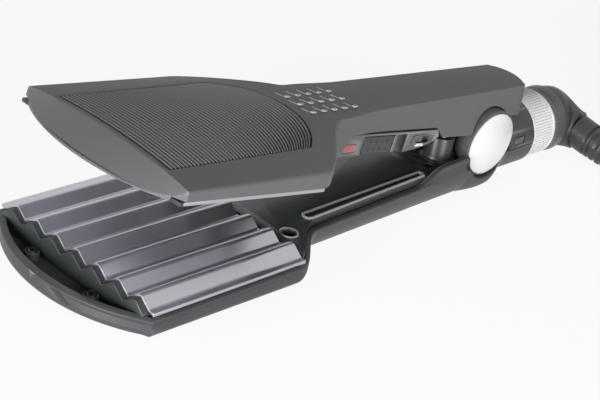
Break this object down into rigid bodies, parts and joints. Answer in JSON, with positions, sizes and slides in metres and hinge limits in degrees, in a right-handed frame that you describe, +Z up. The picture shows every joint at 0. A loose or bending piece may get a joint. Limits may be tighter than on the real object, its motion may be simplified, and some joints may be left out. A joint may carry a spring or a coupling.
{
  "type": "hair crimper",
  "caption": "Hair crimper with wide zigzag plates on two spring-opened arms, a ribbed heat pad, a heat dial at the tail and a swivel mains cord.",
  "frame": {"origin": "on the table plane, straight under the jaw hinge axis, where the flat belly of the lower casing rests", "axes": "+X from the jaws towards the cord, +Z up, the near side with the switch faces -Y"},
  "size_m": [0.3503, 0.1064, 0.0481],
  "materials": {
    "gunmetal": "satin metallic",
    "dark_gunmetal": "satin metallic",
    "black_plastic": "fine matt",
    "panel_grey": "satin",
    "plate": "polished coated",
    "pearl": "pearl",
    "steel": "plain",
    "ceramic": "ceramic white",
    "mica": "mica board",
    "red_lens": "translucent red",
    "board": "lacquered",
    "cord_black": "matt",
    "brass_pins": "nickelled"
  },
  "bodies": {
    "lower_arm": {"lower_casing": "gunmetal", "lower_inner_cover": "black_plastic", "lower_plate_holder": "black_plastic", "lower_crimp_plate": "plate", "lower_heater": "ceramic", "lower_insulator": "mica", "nose_screws": "steel", "cover_screws": "steel", "barrel_shell": "gunmetal", "hinge_carrier": "dark_gunmetal", "hinge_pin": "steel", "hinge_disc_near": "pearl", "hinge_disc_far": "pearl", "opening_spring": "steel", "tail_spindle": "steel", "thermostat_pot": "steel", "rear_collar": "dark_gunmetal"},
    "upper_arm": {"upper_casing": "gunmetal", "heat_pad": "black_plastic", "vent_louvres": "gunmetal", "vent_baffle": "steel", "upper_inner_cover": "panel_grey", "upper_plate_holder": "black_plastic", "upper_crimp_plate": "plate", "upper_heater": "ceramic", "upper_insulator": "mica", "hinge_knuckle": "dark_gunmetal", "cover_clips": "black_plastic", "lamp_lens": "red_lens", "lamp": "steel", "switch_body": "black_plastic", "circuit_board": "board", "thermal_fuse": "steel", "upper_screws": "steel"},
    "power_slider": {"power_slider": "dark_gunmetal"},
    "lock_slider": {"lock_slider": "dark_gunmetal"},
    "dial": {"temperature_dial": "pearl"},
    "cord_end": {"swivel_bush": "black_plastic", "swivel_elbow": "black_plastic", "strain_relief": "cord_black", "cord_tube": "cord_black", "cord_coil": "cord_black", "cord_tail": "cord_black", "cord_tie": "cord_black", "plug_body": "cord_black", "plug_pins": "brass_pins"}
  },
  "joints": [
    {"name": "jaw_hinge", "type": "hinge", "parent": "lower_arm", "child": "upper_arm", "pos_m": [0, 0, 0.0172], "axis": [0, -1, 0], "range_deg": [0, 9.9], "stiffness_Nm_per_rad": 1, "springref_deg": -17.19, "deforming": ["opening_spring"]},
    {"name": "power_switch", "type": "slide", "parent": "upper_arm", "child": "power_slider", "axis": [0.9851, 0, -0.1719], "range_m": [0, 0.003]},
    {"name": "jaw_lock", "type": "slide", "parent": "upper_arm", "child": "lock_slider", "axis": [0.9851, 0, -0.1719], "range_m": [0, 0.003]},
    {"name": "heat_dial", "type": "hinge", "parent": "lower_arm", "child": "dial", "pos_m": [0.0314, 0, 0.0109], "axis": [1, 0, 0], "range_deg": [-135, 135]},
    {"name": "cord_swivel", "type": "hinge", "parent": "lower_arm", "child": "cord_end", "pos_m": [0.0429, 0, 0.0109], "axis": [1, 0, 0], "continuous": true}
  ]
}
